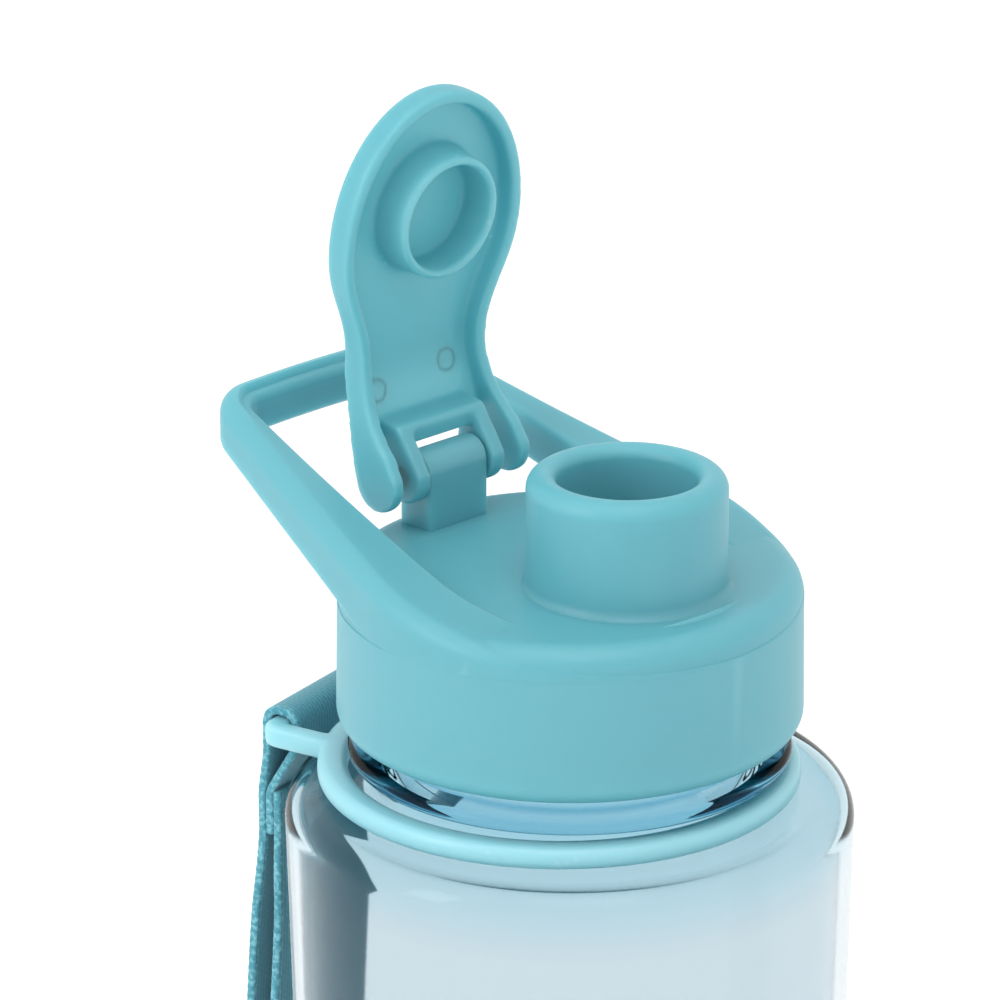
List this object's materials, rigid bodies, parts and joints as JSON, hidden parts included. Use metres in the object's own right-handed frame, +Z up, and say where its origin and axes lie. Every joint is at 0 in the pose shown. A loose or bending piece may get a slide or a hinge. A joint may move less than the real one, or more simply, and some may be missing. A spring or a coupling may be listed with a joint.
{
  "type": "sports drinking bottle",
  "caption": "Clear screw-neck sports bottle with a teal lid that carries a drinking spout, flip cap and loop handle, and a webbing wrist strap on a loose neck ring.",
  "frame": {"origin": "on the bottle's axis at the plane it stands on", "axes": "+Z up out of the mouth, -Y to the front where the spout is, +Y to the back where the cap's hinge and the loop handle are, +X to the right seen from the front"},
  "size_m": [0.074, 0.0896, 0.2673],
  "materials": {
    "clear_plastic": "clear, faintly blue, polished",
    "teal_plastic": "satin moulded",
    "pale_plastic": "satin moulded, flexible",
    "silicone": "milky, matte",
    "steel": "drawn wire",
    "webbing": "ribbed woven polyester",
    "stitching": "polyester thread"
  },
  "bodies": {
    "bottle": {"bottle_body": "clear_plastic"},
    "ring": {"strap_ring": "pale_plastic"},
    "strap": {"wrist_strap": "webbing", "strap_tack_upper": "stitching", "strap_tack_lower": "stitching"},
    "lid_travel": {"lid_seal": "silicone"},
    "lid": {"lid_shell": "teal_plastic"},
    "cap": {"flip_cap": "teal_plastic", "hinge_pin": "steel"}
  },
  "joints": [
    {"name": "ring_turn", "type": "hinge", "parent": "bottle", "child": "ring", "pos_m": [0, 0, 0.1811], "axis": [0, 0, 1], "continuous": true},
    {"name": "strap_swing", "type": "hinge", "parent": "ring", "child": "strap", "pos_m": [-0.00908, 0.03752, 0.1811], "axis": [0.972, 0.2351, 0], "range_deg": [0, 80]},
    {"name": "lid_lift", "type": "slide", "parent": "bottle", "child": "lid_travel", "axis": [0, 0, 1], "range_m": [0, 0.0125]},
    {"name": "lid_turn", "type": "hinge", "parent": "lid_travel", "child": "lid", "pos_m": [0, 0, 0.188], "axis": [0, 0, 1], "range_deg": [0, 900]},
    {"name": "cap_flip", "type": "hinge", "parent": "lid", "child": "cap", "pos_m": [0, 0.0235, 0.2167], "axis": [1, 0, 0], "range_deg": [-20, 83]}
  ],
  "couplings": [
    {"joint": "lid_lift", "follows": "lid_turn", "m_per_rad": 0.00079577}
  ]
}
